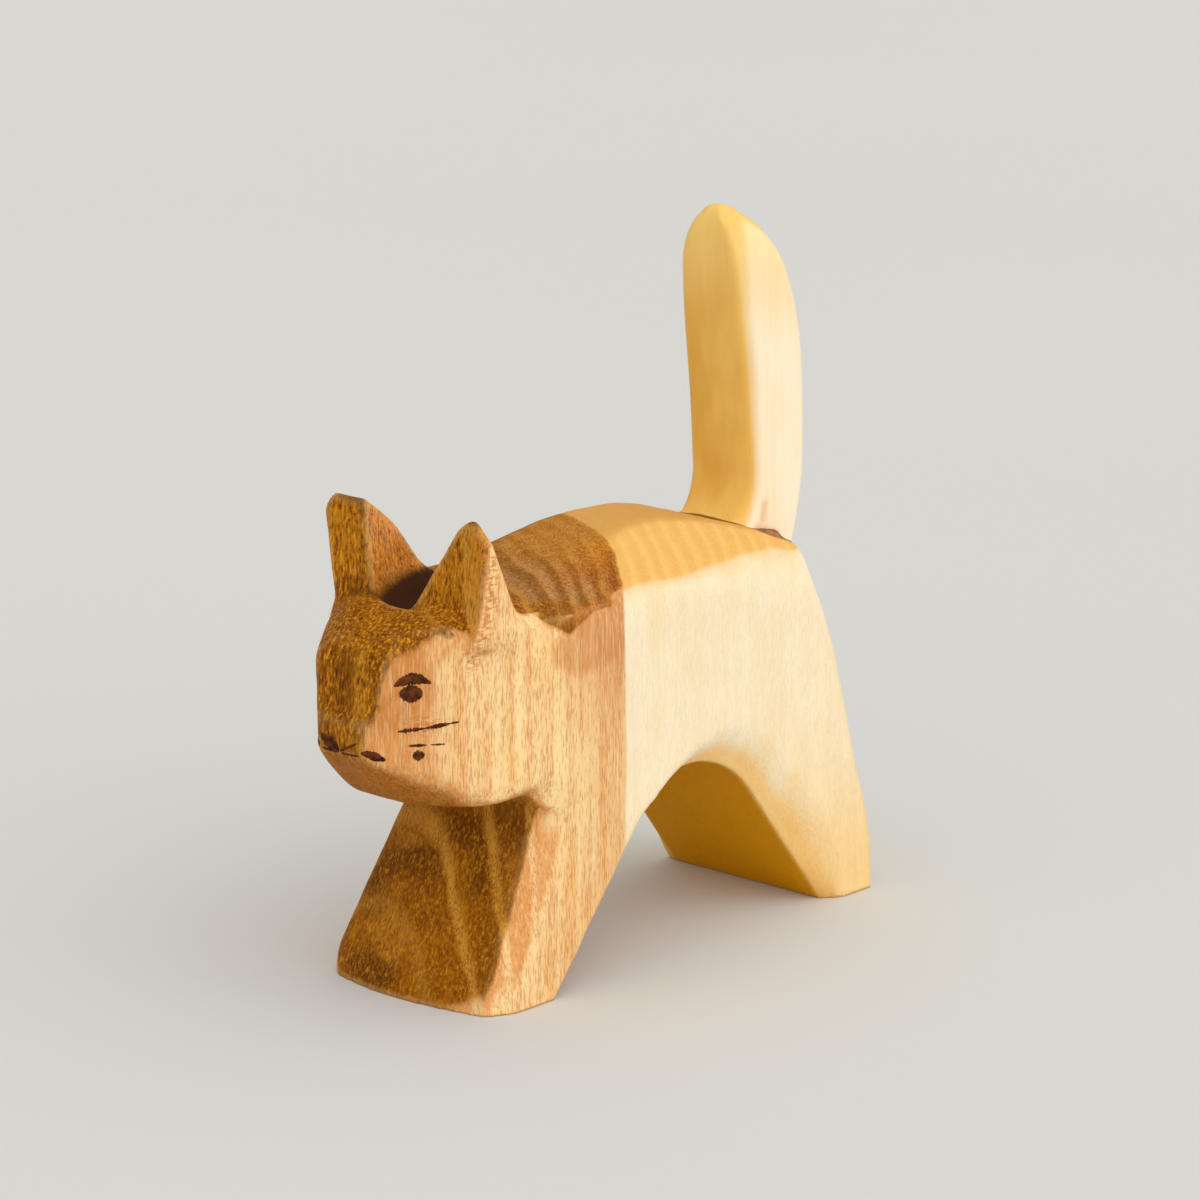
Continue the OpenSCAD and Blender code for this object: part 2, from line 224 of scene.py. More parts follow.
def arch(p):
    """Below zero in the opening: distance to a circle inside its angle, and to its end tangents beyond it.
    The bevel lets the opening grow by its width over the last bevel_in of the board."""
    x, y, z = p
    angle = np.degrees(np.arctan2(y - arch_y, z - arch_low))
    turn = np.radians(np.clip(angle, -arch_ends, arch_ends))
    sawn = (y - arch_y) * np.sin(turn) + (z - arch_low) * np.cos(turn) - arch_r
    share = np.where(x > 0, 0.35 + 0.65 * smooth_step(z, -1, 8), 0.08 + 0.46 * smooth_step(z, -1, 9))
    width = bevel_w * smooth_step(angle, -32, 34) * share
    depth = np.abs(x) - (half_w - bevel_in)
    bevel = (sawn - width * depth / bevel_in) / np.sqrt(1 + (width / bevel_in) ** 2)
    return soft_min(sawn, np.where(width > 0.02, bevel, 9.0), 0.3)


print("fore leg:", len(leg_left_cuts), "cuts on the left,", len(leg_right_cuts), "on the right")

# %% [markdown]
# ## The head and the ears
# The head is cut as a wedge with a blunt nose. Its bridge is a narrow strip between two shallow cuts, and
# the nose's pad stands a little proud below it. The cheeks run into the neck with no edge at all, so the
# bands there are wide. One ear could be mirrored, but no two come out alike under a knife: the right one
# is broad at the tip and the left one pointed, so each has its own cuts.

# %% Head and ears
nose_h, crown_h, jaw_h, ear_y, ear_mid, ear_top = 30.2, 41.8, 21.8, -25.7, 46.3, 50.8
muzzle_edge = (3.1, nose_y, 30.98)
head_cuts = [
    (muzzle_edge, 48, -2, 0.5),
    ((8.2, -29.5, 34.0), 66, 0, 1.4),
    ((0, -31.85, 22.0), 35, -38, 0.9),
    ((9.6, -26.7, 22.0), 50, -30, 1.8),
    ((half_w, fore_y, 38.2), 95, 58, 0.9),
]
right_temple = [((8.2, -27.8, 38.9), 48, 45, 1.5)]
forehead = [((1.0, -33.75, 36.5), 8, 8, 0.3)]
nose_side = [(muzzle_edge, 25, 10, 0.5)]
notch_x, notch_h, notch_r = 0.6, 45.9, 5.4
left_ear_cuts = [
    ((0, ear_y, crown_h), 0, 5, 0.35),
    ((11.8, -22.9, 45.2), 155, 22, 0.6),
    ((8.0, -24.1, 51.0), 165, 60, 0.35),
    ((1.8, ear_y, crown_h), -90, 32.5, 0.4),
    ((11.2, ear_y, ear_mid), 84, -5, 0.6),
    ((10.2, ear_y, 50.25), 90, 50, 0.5),
    ((8.2, ear_y, 50.8), -90, 60, 0.4),
]
right_ear_cuts = [
    ((0, ear_y, crown_h), 0, 5, 0.35),
    ((0, -19.8, ear_mid), 180, 28, 0.6),
    ((0, -19.8, ear_mid), 180, 38, 0.5),
    ((0, -22.3, 49.2), 180, 52, 0.5),
    ((0, -23.7, 51.0), 180, 66, 0.35),
    ((4.05, ear_y, crown_h), -90, 12, 0.4),
    ((10.9, ear_y, ear_mid), 80, -12, 0.6),
    ((11.0, ear_y, 50.4), 90, 35, 0.6),
    ((0, ear_y, 51.3), 180, 84, 0.3),
]


def head(p):
    """The block from nose to nape, less the cuts on both sides. It has two fronts, the low pad of the
    nose and the bridge set back above it, and the wood is where either is."""
    x, y, z = p
    side = both_sides(p)
    field = soft_max(z - crown_h, jaw_h - z, 0.6)
    field = np.maximum(field, y + 10.2)
    field = carve(field, p, [((0, nose_y, 27.6), 0, -45, 0.9), ((0, -18.74, crown_h), 180, 68, 0.8)])
    field = carve(field, side, head_cuts)
    field = carve(field, (-x, y, z), right_temple)
    bridge = carve(field, side, forehead)
    bridge = carve(bridge, p, [((0, -34.0, 32.0), 0, 3, 0.6), ((0, -34.1, 38.0), 0, 60, 2.0)])
    pad = carve(field, side, nose_side)
    pad = carve(pad, p, [((0, nose_y, nose_h), 0, 0, 0.5), ((0, nose_y, 31.2), 0, 42, 0.5)])
    return soft_min(bridge, pad, 0.4)


def ear(p, cuts):
    """One ear: the block over the crown, less its own cuts."""
    x, y, z = p
    field = np.maximum(38.0 - z, y + 12.0)
    field = np.maximum(field, -x)
    return carve(field, p, cuts)


print("head:", len(head_cuts), "cuts on each side; ears:", len(left_ear_cuts), "and", len(right_ear_cuts))

# %% [markdown]
# ## The whole body as one field
# Trunk and fore leg are joined, the arch is taken out, the head is added with a groove along its crown,
# and an ear stands on either side of the groove. The two flanks are the faces of the board, so they cut
# everything at once. Last come the shallow ripples of the knife: a handful of long waves, far too small
# to measure, that keep the light from lying dead flat.

# %% Body field
dowel_y, dowel_r, bore_low = 26.37, 2.1, 29.94
wave_source = np.random.default_rng(7)
wave_ways = wave_source.normal(0, 1, (9, 3)) * (0.9, 0.9, 0.45)
wave_starts = wave_source.uniform(0, 2 * np.pi, 9)
wave_h = 0.010


def knife_ripple(p):
    """The sum of nine sine waves of random direction, with wavelengths of about 5 to 12 mm."""
    waves = [np.sin(w[0] * p[0] + w[1] * p[1] + w[2] * p[2] + s) for w, s in zip(wave_ways, wave_starts)]
    return wave_h * sum(waves)


def body_field(p):
    """Distance outside the wood of the body, in millimetres."""
    x, y, z = p
    field = soft_min(trunk(p), fore_leg(p), 0.5)
    field = soft_max(field, -arch(p), 0.5)
    field = soft_min(field, head(p), 0.5 + 4.5 * smooth_step(y, -23, -16))
    groove = notch_r - np.hypot(x - notch_x, z - notch_h)
    groove = groove - 9 * smooth_step(y, -17, -12) - 1.8 * smooth_step(-y, 25.8, 28.2)
    field = soft_max(field, groove, 0.4)
    root = 1.3 + 1.5 * smooth_step(y, -24.5, -21)
    field = soft_min(field, ear(p, left_ear_cuts), root)
    field = soft_min(field, ear((-x, y, z), right_ear_cuts), root)
    cheek = smooth_step(-y, 13, 19) * smooth_step(z, 19, 23) * smooth_step(-z, -41, -37)
    field = soft_max(field, np.abs(x) - half_w, 0.5 + 3.5 * cheek)
    field = field + knife_ripple(p)
    field = soft_max(field, -z, 0.2)
    bore = np.maximum(np.hypot(x, y - dowel_y) - dowel_r, bore_low - z)
    return np.maximum(field, -bore)


print("ripple:", len(wave_ways), "waves of", wave_h, "mm")

# %% [markdown]
# ## From the field to a mesh
# Marching cubes would do, but it leaves thin triangles. A surface net puts one point in every grid cell
# that the surface crosses, at the mean of the crossings on the cell's edges, and joins the four cells
# round each crossed edge with a quad. Two Newton steps then put the points on the surface exactly.

# %% Surface net
def field_slope(field, p, reach=0.02):
    """Gradient of a field by central differences over twice the reach."""
    steps = np.eye(3) * reach
    return np.stack([
        field(tuple(p.T + s[:, None])) - field(tuple(p.T - s[:, None])) for s in steps
    ], 1) / (2 * reach)


def onto_surface(field, p, rounds=2):
    """Newton's step, p - f g / |g|^2, repeated, with g the field's gradient."""
    for _ in range(rounds):
        g = field_slope(field, p)
        p = p - (field(tuple(p.T)) / np.maximum((g * g).sum(1), 0.05))[:, None] * g
    return p


def surface_net(field, low, high, step):
    """Points and quads of the surface where the field is zero, from a grid of cells of the given step."""
    axes = [np.arange(a, b + step, step) for a, b in zip(low, high)]
    f = field(tuple(np.meshgrid(*axes, indexing="ij")))
    inside = f < 0
    nx, ny, nz = f.shape
    corners = np.array([(i, j, k) for i in (0, 1) for j in (0, 1) for k in (0, 1)])
    filled = sum(inside[i:nx - 1 + i, j:ny - 1 + j, k:nz - 1 + k].astype(int) for i, j, k in corners)
    crossed = (filled > 0) & (filled < 8)
    cells = np.argwhere(crossed)
    number = np.full(crossed.shape, -1)
    number[crossed] = np.arange(len(cells))

    total, hits = np.zeros((len(cells), 3)), np.zeros(len(cells))
    for a in corners:
        for b in corners[((corners - a).sum(1) == 1) & ((corners - a).min(1) == 0)]:
            fa, fb = f[tuple((cells + a).T)], f[tuple((cells + b).T)]
            met = (fa < 0) != (fb < 0)
            share = fa[met] / (fa[met] - fb[met])
            total[met] += cells[met] + a + share[:, None] * (b - a)
            hits[met] += 1
    points = np.array(low) + step * total / hits[:, None]

    quads = []
    for d in range(3):
        e, g = np.eye(3, dtype=int)[[(d + 1) % 3, (d + 2) % 3]]
        here = np.moveaxis(inside, d, 0)
        start, end = np.moveaxis(here[:-1], 0, d), np.moveaxis(here[1:], 0, d)
        for first in (True, False):
            at = np.argwhere((start == first) & (end != first))
            ring = [number[tuple((at - s).T)] for s in (0 * e, e, e + g, g)]
            quads.append(np.stack(ring if first else ring[::-1], 1))
    return points, np.concatenate(quads)


# %% Body mesh
net_step = 0.36
points, quads = surface_net(body_field, (-12.6, -35.5, -0.6), (12.6, 35.5, 51.6), net_step)
points = onto_surface(body_field, points)
print("body:", len(points), "points,", len(quads), "quads")

# %% [markdown]
# ## From arrays to a Blender object
# Every piece ends as an array of points and a list of faces. What differs from point to point, such as
# how deep the oil and the painted shade show, could be painted as vertex colours. A named attribute for each
# is easier to read again in the finish.

# %% Put arrays into a Blender mesh
def make_piece(name, points, faces, replaced):
    """A smooth-shaded object at the origin, from points in millimetres, riding on the only body."""
    mesh = bpy.data.meshes.new(name)
    mesh.from_pydata((points * MM).tolist(), [], faces)
    mesh.polygons.foreach_set("use_smooth", np.ones(len(mesh.polygons), bool))
    mesh.update()
    piece = bpy.data.objects.new(name, mesh)
    bpy.context.scene.collection.objects.link(piece)
    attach(piece, "root")
    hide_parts(replaced)
    return piece


def paint(piece, name, values):
    """Keeps one number per point with the mesh, for the finish to read."""
    layer = piece.data.attributes.new(name, "FLOAT", "POINT")
    layer.data.foreach_set("value", np.asarray(values, np.float32))


body = make_piece("carved_body", points, quads.tolist(), "body")

# %% [markdown]
# ## What the knife and the years did to each face, and where shade is painted
# Planed flanks bleach and stay pale. Faces across the grain drink more oil and stay deep. The cuts at the
# front, turned from the lamp, get painted shade over their oil, and faces to the rear get painted light. A
# pattern in space can't know which way a face looks, so the oil with its painted shade and light, the ears'
# insides, the flat tops, the undersides with their painted shade and the worn edges are worked out per point
# and kept as attributes.

# %% How deep the oil shows
def oil_and_shade_depth(normal):
    """How deep the oil shows, from 0 on the pale flanks to 1: less with |nx| and a face to the rear,
    more with a face up or ahead. A cut that faces up has opened the ends of the fibres, so it gets at
    least 0.8. The share added for a face ahead is painted shade, and the share taken off for a face to
    the rear is painted light."""
    nx, ny, nz = normal.T
    pale = np.abs(nx) + 0.6 * np.maximum(ny, 0) - 0.3 * np.maximum(nz, 0) - 0.25 * np.maximum(-ny, 0)
    return np.clip(np.maximum(1 - pale, 0.8 * smooth_step(nz, 0.45, 0.8)), 0, 1)


def near_lines(p, lines, reach):
    """1 on the lines and 0 beyond the reach: a smooth step of the distance to each line from a to b."""
    shade = np.zeros(len(p))
    for a, b in lines:
        a, b = np.array(a, float), np.array(b, float)
        share = np.clip(((p - a) @ (b - a)) / ((b - a) @ (b - a)), 0, 1)
        gap = np.linalg.norm(p - a - share[:, None] * (b - a), axis=1)
        shade = np.maximum(shade, 1 - smooth_step(gap, 0, reach))
    return shade


px, py, pz = points.T
slope = field_slope(body_field, points, 0.05)
normals = slope / np.linalg.norm(slope, axis=1, keepdims=True)
inner_ear = smooth_step(-normals[:, 0] * np.sign(px), 0.3, 0.6) * smooth_step(pz, 40.5, 41.5)
toe_low = -1.6 - 2.4 * smooth_step(px, 6, 10)
toe = smooth_step(-py, 18, 22) * smooth_step(-pz, toe_low, -0.4)
toe = toe * (0.2 + 0.3 * smooth_step(px, 4, 9))
nape_corner = [
    ((11.0, -16.2, 40.2), (11.3, -14.1, 38.7)), ((11.3, -14.1, 38.7), (11.0, -10.2, 39.9)),
    ((11.0, -10.2, 39.9), (11.0, -7.8, 40.2)),
]
ear_foot = [((10.6, -20.4, 41.8), (10.8, -18.9, 40.2)), ((10.8, -18.9, 40.2), (10.8, -17.2, 39.8))]
# The oil share also holds painted shade on faces ahead and painted light on faces to the rear.
body_oil_and_shade = np.maximum(oil_and_shade_depth(normals), 0.74 * inner_ear) * (1 - toe)
body_oil_and_shade = body_oil_and_shade * (1 - np.minimum(1.5 * near_lines(points, ear_foot, 1.5), 0.9))
body_oil_and_shade = np.maximum(body_oil_and_shade, np.minimum(2 * near_lines(points, nape_corner, 1.5), 0.9))
paint(body, "oil_and_shade", body_oil_and_shade)
paint(body, "inner", inner_ear)
paint(body, "top", smooth_step(normals[:, 2], 0.86, 0.97))
# Downward faces: the finish turns this share into painted shade, with oil in the end grain of the arch.
paint(body, "under", smooth_step(-normals[:, 2], 0.3, 0.55))

bend_reach = 0.45
bend_steps = np.concatenate([np.eye(3), -np.eye(3)]) * bend_reach
bend = sum(body_field(tuple(points.T + s[:, None])) for s in bend_steps)
bend = (bend - 6 * body_field(tuple(points.T))) / bend_reach**2
paint(body, "worn", smooth_step(bend, 0.25, 1.1))
print("oil_and_shade", np.round(oil_and_shade_depth(normals).mean(), 2), "worn share", np.round((bend > 0.5).mean(), 3))

# %% [markdown]
# ## Scorched and torn wood, and painted shade
# The tips of the ears and the cuts at their feet are burnt dark. The groove between the ears is painted near
# black, partly as scorch and partly as painted shade in the groove. A dark strip down the bridge is painted
# shade on its front, which faces away from the lamp, and fibres are torn at the back edge of the left ear. A
# brush in Texture Paint could do this, but not in a script. Here each mark is a short line on the wood, and
# its tone falls off with the distance from the line.

# %% Scorched and torn wood, and painted shade
scorched = [
    ((-9.4, -25.0, 51.0), (-6.4, -24.9, 50.9)), ((-6.3, -25.1, 50.6), (-6.0, -25.3, 49.4)),
    ((8.6, -24.8, 50.9), (9.4, -24.7, 50.9)),
    ((-6.9, -25.9, 41.5), (-5.4, -25.9, 41.7)), ((-4.4, -25.9, 41.8), (-3.2, -26.0, 41.8)),
    ((8.0, -28.9, 40.8), (8.9, -27.8, 40.1)),
]
# The groove between the ears is partly scorch and partly painted shade in the groove.
groove_burn_and_shade = [((-0.4, -26.4, 40.8), (-3.0, -20.5, 41.0)), ((-3.0, -20.5, 41.0), (-6.4, -14.0, 41.4))]
in_notch = 1.25 * near_lines(points, groove_burn_and_shade, 3.4) + 0.3 * smooth_step(px, -5.8, -4.6)
in_notch = in_notch * smooth_step(py, -27.2, -25.8) * smooth_step(-py, 12, 17.5) * smooth_step(-px, -1.4, 0.0)
in_notch = np.minimum(in_notch * smooth_step(-pz, -44.6, -42.4) * smooth_step(pz, 39.2, 40.4), 1)
paint(body, "scorch_and_shade", np.maximum(0.6 * near_lines(points, scorched, 1.1), in_notch))
# Painted shade: a dark strip down the front of the bridge, which faces away from the lamp.
strip = (1 - smooth_step(np.abs(px), 0.6, 1.3)) * smooth_step(-py, 32.6, 33.2) * smooth_step(pz, 31.5, 32.6)
paint(body, "bridge_shade", strip * smooth_step(-pz, -39.5, -38.0))
torn = [
    ((11.5, -25.0, 49.6), (11.6, -24.8, 42.0)), ((11.6, -24.8, 42.0), (10.4, -26.2, 37.0)),
    ((6.0, -31.4, 31.6), (7.6, -30.0, 31.0)),
]
paint(body, "torn", near_lines(points, torn, 2.2))
print("scorched:", int((in_notch > 0.5).sum()), "points in the groove")

# %% [markdown]
# ## Cuts with a tone of their own, painted shade and painted light
# Neighbouring cuts differ in tone: reddish round the eye and under the nape, olive behind the ears, and honey
# on the bevel of the arch, which is partly painted shade. Dark strips on the chest and the jaw's shadow below
# the jaw are painted shade, and light strips on the chest, the bridge's edge and the top of the nose's pad
# are painted light. Separate materials would leave hard borders inside a worn face, so these tones are shares
# per point too.

# %% Cuts with a tone of their own, painted shade and painted light
eye_facet = [((5.9, -32.1, 38.2), (6.4, -31.2, 34.4)), ((6.4, -31.2, 34.4), (5.2, -32.6, 32.4))]
shoulder = [
    ((11.7, -14.9, 36.3), (11.9, -12.7, 35.3)), ((11.9, -12.7, 35.3), (11.9, -8.7, 35.4)),
    ((11.9, -8.7, 35.4), (11.7, -5.2, 36.9)), ((11.6, -12.1, 37.0), (11.4, -8.8, 38.4)),
    ((11.4, -8.8, 38.4), (11.2, -4.6, 39.2)),
]
flush = np.minimum(1.7 * near_lines(points, shoulder, 2.4), 0.75)
paint(body, "blush", np.maximum(np.minimum(1.7 * near_lines(points, eye_facet, 3.6), 1), flush))
off_top = 1 - 0.75 * smooth_step(normals[:, 2], 0.9, 0.96)
paint(body, "ahead", smooth_step(-px - py, 1.2, 2.8) * off_top)
# Painted shade: dark strips on the chest, and the jaw's shadow just below the jaw.
shaded_chest = [
    ((-6.9, -21.7, 12.0), (-1.1, -20.9, 13.6)), ((-7.7, -26.0, 1.8), (-3.2, -25.9, 2.0)),
    ((7.5, -18.8, 18.4), (11.1, -19.8, 16.2)), ((11.1, -19.8, 16.2), (11.0, -21.6, 12.2)),
    ((1.2, -19.4, 17.4), (6.2, -20.2, 15.4)), ((6.2, -20.2, 15.4), (6.0, -21.6, 12.2)),
    ((-7.6, -22.0, 11.4), (-8.4, -23.4, 8.0)),
]
# Painted light: light strips on the chest, along the bridge's edge and on the top of the nose's pad.
lit_chest = [((-5.6, -20.4, 15.2), (-1.4, -19.7, 16.7)), ((-5.6, -24.2, 6.0), (-2.8, -25.0, 4.2))]
paint(body, "shade", np.minimum(1.3 * near_lines(points, shaded_chest, 3.0), 1))
bridge_edge = [((1.7, -34.2, 32.0), (1.9, -33.6, 38.4))]
pad_top = [((-0.4, -34.7, 30.2), (1.8, -34.7, 29.2))]
painted_light = np.maximum(near_lines(points, lit_chest, 2.6), near_lines(points, bridge_edge, 1.8))
paint(body, "painted_light", np.maximum(painted_light, near_lines(points, pad_top, 1.4)))
# The bevel's honey tone, strongest at its inner edge, is partly oil in the end grain and partly painted
# shade.
on_arch = 1 - smooth_step(np.abs(arch((px, py, pz))), 0.2, 0.6)
on_bevel = on_arch * smooth_step(np.abs(px), 10.1, 10.5)
paint(body, "bevel", on_bevel)
paint(body, "glow", on_bevel * (1 - 0.75 * smooth_step(np.abs(px), 10.7, 11.7)))
print("attributes of the body:", len(body.data.attributes))

# %% [markdown]
# ## The tail
# The tail is a stick shaved to eight faces, thinner towards its round tip and bent forwards there. A
# bent box with bevels would come close, but its ridges would be dead straight. Here a profile is carried
# up a path: the profile is the soft smallest of eight half-planes, and each of them moves a little on
# the way, so that the ridges wander as they do on the real one.

# %% Tail
tail_w, tail_d, tail_tip, tail_hook = 10.0, 8.6, 75.6, 5.0
tail_y, seat_mid_y, seat_mid_z, glue_t = 27.45, 26.0, 39.437, 0.2
glue_rise, bore_top = glue_t * np.hypot(1, seat_fall), seat_mid_z + 8.5
ridge_power = 30


def dome(t, start):
    """1 up to the start, then a quarter of an ellipse down to 0 at t = 1."""
    return np.sqrt(np.clip(1 - (np.maximum(0, t - start) / (1 - start)) ** 2, 0, 1))


def tail_rings(t, angle):
    """Rings of the tail's skin. t is 0 at the foot and 1 at the tip, and the angle goes round from the
    left side. Radius is (sum of (max(0, n . d) / h)^k)^(-1/k) over eight half-planes with normals n and
    distances h, and the power k says how crisp the ridges are."""
    t, angle = t[:, None], angle[None, :]
    flare = np.maximum(0, 1 - t / 0.2) ** 1.7
    bend = 0.42 * np.sin(np.pi * t**2.2)
    half_depth = tail_d / 2 * (dome(t, 0.6) + 0.17 * flare) + bend
    half_width = tail_w / 2 * dome(t, 0.8)
    bevel = 1.0 + 0.5 * smooth_step(t, 0.5, 0.85) + 0.35 * smooth_step(-t, -0.3, 0)
    bevel = np.minimum(bevel, 0.9 * np.minimum(half_depth, half_width))
    corner = (half_depth + half_width - bevel) / np.sqrt(2)
    wander = 0.12 * np.sin(9 * t + 0.6)
    front = [half_width, corner + wander, half_depth, corner]
    back = [half_width, corner - wander, half_depth, corner]
    faces = zip(np.arange(8) * np.pi / 4, front + back)
    pull = sum((np.maximum(0, np.cos(angle + w)) / np.maximum(h, 1e-3)) ** ridge_power for w, h in faces)
    radius = pull ** (-1 / ridge_power)
    x = radius * np.cos(angle)
    y = tail_y - tail_hook * t**4 - bend - 0.25 * tail_d * flare + radius * np.sin(angle)
    lean = seat_fall * (seat_mid_y - y) + glue_rise
    z = seat_mid_z + (tail_tip - seat_mid_z) * t + lean * (1 - t) ** 12
    return np.stack([x + 0 * y, y + 0 * x, z + 0 * x], -1)


def skin(rings):
    """Quads between neighbouring rings, and a fan of triangles to the middle of the first and last ring."""
    rows, sides, _ = rings.shape
    i, j = np.meshgrid(np.arange(rows - 1), np.arange(sides), indexing="ij")
    a, b = i * sides + j, i * sides + (j + 1) % sides
    walls = np.stack([a, b, b + sides, a + sides], -1).reshape(-1, 4)
    j = np.arange(sides)
    first = np.stack([(j + 1) % sides, j, 0 * j + rows * sides], 1)
    last = (rows - 1) * sides
    end = np.stack([last + j, last + (j + 1) % sides, 0 * j + rows * sides + 1], 1)
    points = np.concatenate([rings.reshape(-1, 3), rings[:1].mean(1), rings[-1:].mean(1)])
    return points, walls.tolist() + first.tolist() + end.tolist()


def outward(points, faces):
    """Turns all faces round if the volume that they enclose comes out negative."""
    three = np.array([f[:3] for f in faces] + [[f[0], f[2], f[3]] for f in faces if len(f) == 4])
    a, b, c = points[three[:, 0]], points[three[:, 1]], points[three[:, 2]]
    return faces if (a * np.cross(b, c)).sum() > 0 else [f[::-1] for f in faces]


sides = 96
angle = np.arange(sides) * 2 * np.pi / sides
climb = np.sin(np.linspace(0, np.pi / 2, 110)) ** 1.3
outside = tail_rings(climb[:-1], angle)
mouth = np.stack([dowel_r * np.cos(angle), dowel_y + dowel_r * np.sin(angle)], -1)
shares = np.linspace(1, 0, 8)[1:, None, None]
foot = shares * outside[0, None, :, :2] + (1 - shares) * mouth
foot_z = seat_mid_z + seat_fall * (seat_mid_y - foot[..., 1:]) + glue_rise
foot = np.concatenate([foot, foot_z], -1)
bore = np.repeat(foot[-1:], 6, 0)
bore[..., 2] += (bore_top - bore[..., 2]) * np.linspace(0, 1, 7)[1:, None]
tail_points, tail_faces = skin(np.concatenate([outside[::-1], foot, bore]))
tail_points[-2] = [0, tail_y - tail_hook, tail_tip]
tail = make_piece("carved_tail", tail_points, outward(tail_points, tail_faces), "tail")
tail_normals = np.zeros(len(tail.data.vertices) * 3, np.float32)
tail.data.vertices.foreach_get("normal", tail_normals)
# The tail's oil share also holds painted shade on faces ahead and painted light on faces to the rear.
paint(tail, "oil_and_shade", oil_and_shade_depth(tail_normals.reshape(-1, 3)))
smears = [((4.9, 24.4, 43.6), (4.9, 24.1, 42.0)), ((4.9, 23.3, 41.2), (4.9, 26.3, 40.0))]
paint(tail, "smear", near_lines(tail_points, smears, 0.9))
print("tail:", len(tail_points), "points")

# %% [markdown]
# ## The glue line
# A dark line of dried glue shows round the tail's foot. It could be painted on, but the light catches
# its lumps, so it is a thin disc under the tail whose rim swells into an uneven bead.

# %% Glue line
def on_seat(outline, lift):
    """A ring on the seat's plane, lifted by a share of the glue's thickness."""
    z = seat_mid_z + seat_fall * (seat_mid_y - outline[:, 1]) + lift * glue_rise
    return np.column_stack([outline, z])


lump = 0.46 + 0.28 * np.cos(4 * angle) - 0.16 * np.sin(angle)
lump = lump + 0.08 * np.sin(7 * angle + 2) + 0.05 * np.sin(13 * angle)
lump = np.clip(lump, 0.1, 1)[:, None]
edge = outside[0, :, :2]
way = (edge - [0, dowel_y]) / np.linalg.norm(edge - [0, dowel_y], axis=1, keepdims=True)
lip, middle = edge + (0.12 + 0.2 * lump) * way, 0.5 * (mouth + edge)
bead = outside[0] + lump * (outside[5] - outside[0])
bead[:, :2] += 0.05 * way
bulge = 0.5 * (bead + on_seat(lip, 0))
bulge[:, :2] += 0.07 * way
glue_rings = np.array([
    on_seat(mouth, 0), on_seat(mouth, 1), on_seat(middle, 1), outside[0],
    bead, bulge, on_seat(lip, 0), on_seat(middle, 0),
])
i, j = np.meshgrid(np.arange(len(glue_rings)), np.arange(sides), indexing="ij")
this_ring, next_ring, next_j = i * sides, (i + 1) % len(glue_rings) * sides, (j + 1) % sides
glue_faces = np.stack([this_ring + j, this_ring + next_j, next_ring + next_j, next_ring + j], -1)
glue_points = glue_rings.reshape(-1, 3)
glue_faces = outward(glue_points, glue_faces.reshape(-1, 4).tolist())
glue = make_piece("tail_seam", glue_points, glue_faces, "tail_glue")
print("glue:", len(glue_points), "points")

# %% [markdown]
# ## The drawn face
# Eyes, nose, mouth and whiskers are drawn on the bare wood with a dark stain. A picture of them could be
# projected on the head, but it would smear where the cheek turns away. So a stroke is a thin ellipse
# carried along its line. Each point is first laid out flat on the facet, then dropped on the body by
# Newton steps, so the stroke follows the worn edges. Its width is uneven, as a dry brush leaves it.

# %% Strokes on the wood
stroke_source = np.random.default_rng(3)
cheek_u = np.array([np.cos(np.radians(48)), np.sin(np.radians(48)), 0])
cheek_v = np.array([0.0, 0.0, 1.0])
eye = np.array([6.4, -31.15, 34.2])
pad = np.array([0.0, nose_y, nose_h])
pad_u = np.array([1.0, 0.0, 0.0])
brush_sides = 12


def stroke(path, width, origin, u, v, ragged=0.12, lift=0.06, steps=48, round_ends=0.5):
    """An ellipse, as wide as the stroke and twice the lift thick, carried along a line through the
    path's points. The width tapers as (1 - s^2)^round_ends, with s from -1 to 1, and by a random ragged
    share."""
    path, width = np.array(path, float), np.array(width, float)
    stops = np.linspace(0, 1, len(path))
    t = np.linspace(0, 1, steps)
    flat = np.stack([np.interp(t, stops, path[:, k]) for k in (0, 1)], 1)
    kernel = np.ones(7) / 7
    flat = np.stack([np.convolve(np.pad(flat[:, k], 3, "edge"), kernel, "valid") for k in (0, 1)], 1)
    s = 2 * t - 1
    wide = np.interp(t, np.linspace(0, 1, len(width)), width) * np.clip(1 - s**2, 0.001, 1) ** round_ends
    wide = wide * (1 + ragged * stroke_source.normal(0, 1, steps))
    along = np.gradient(flat, axis=0)
    along = along / np.linalg.norm(along, axis=1, keepdims=True)
    across = np.stack([-along[:, 1], along[:, 0]], 1)
    turn = np.arange(brush_sides) * 2 * np.pi / brush_sides
    spread = flat[:, None] + across[:, None] * (0.5 * wide[:, None] * np.cos(turn))[..., None]
    base = origin + spread[..., :1] * u + spread[..., 1:] * v
    base = onto_surface(body_field, base.reshape(-1, 3), 4)
    slope = field_slope(body_field, base, 0.2)
    out = slope / np.linalg.norm(slope, axis=1, keepdims=True)
    thin = np.minimum(lift, 0.4 * wide)[:, None] * np.sin(turn)
    return skin((base + thin.reshape(-1, 1) * out).reshape(steps, brush_sides, 3))


def drawn(name, strokes, replaced):
    """One piece from several strokes, joined as loose shells in one mesh."""
    all_points, all_faces, start = [], [], 0
    for p, f in strokes:
        f = outward(p, f)
        all_points.append(p)
        all_faces += [[k + start for k in face] for face in f]
        start += len(p)
    return make_piece(name, np.concatenate(all_points), all_faces, replaced)


